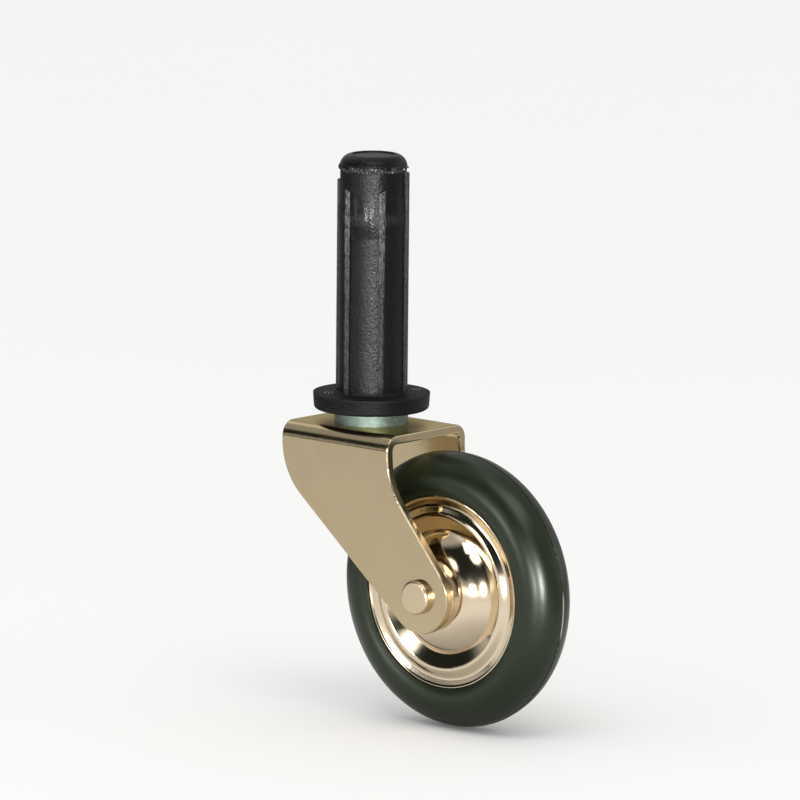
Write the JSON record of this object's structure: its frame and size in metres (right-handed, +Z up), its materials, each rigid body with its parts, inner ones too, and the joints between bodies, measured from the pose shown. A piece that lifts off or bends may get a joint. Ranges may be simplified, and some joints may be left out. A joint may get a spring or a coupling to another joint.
{
  "type": "tea trolley castor",
  "caption": "Swivel castor for a furniture leg: ribbed plastic tube plug with a flange, folded steel fork, pressed-disc wheel with a solid rubber tyre.",
  "frame": {"origin": "centre of the plug flange's top face on the swivel axis, where the end of the tube leg rests", "axes": "+Z up along the plug into the tube leg; +X from the swivel axis towards the axle, in the trailing direction; +Y along the axle"},
  "size_m": [0.0873, 0.0358, 0.1529],
  "materials": {
    "plug_plastic": "satin black moulded plastic with a fine grain and glossy ribs",
    "zinc_steel": "bright bluish zinc plating, scratched round the collar",
    "spring_steel": "plain spring steel",
    "nickel_sheet": "polished warm nickel plating",
    "nickel_rivet": "satin warm nickel plating",
    "nickel_disc": "bright warm nickel plating, slightly rippled pressing",
    "nickel_hub": "bright warm nickel plating",
    "bush_plastic": "natural moulded plastic",
    "tyre_rubber": "dark green-black rubber, satin, with a moulding line round the tread"
  },
  "bodies": {
    "socket": {"plug_sleeve": "plug_plastic"},
    "swivel_fork": {"king_pin": "zinc_steel", "snap_ring": "spring_steel", "fork": "nickel_sheet", "axle_rivet": "nickel_rivet"},
    "wheel": {"wheel_disc_near": "nickel_disc", "wheel_disc_far": "nickel_disc", "hub_sleeve": "nickel_hub", "axle_bush": "bush_plastic", "tyre": "tyre_rubber"}
  },
  "joints": [
    {"name": "fork_swivel", "type": "hinge", "parent": "socket", "child": "swivel_fork", "pos_m": [0, 0, 0], "axis": [0, 0, 1], "continuous": true},
    {"name": "wheel_spin", "type": "hinge", "parent": "swivel_fork", "child": "wheel", "pos_m": [0.0315, 0, -0.0502], "axis": [0, 1, 0], "continuous": true}
  ]
}
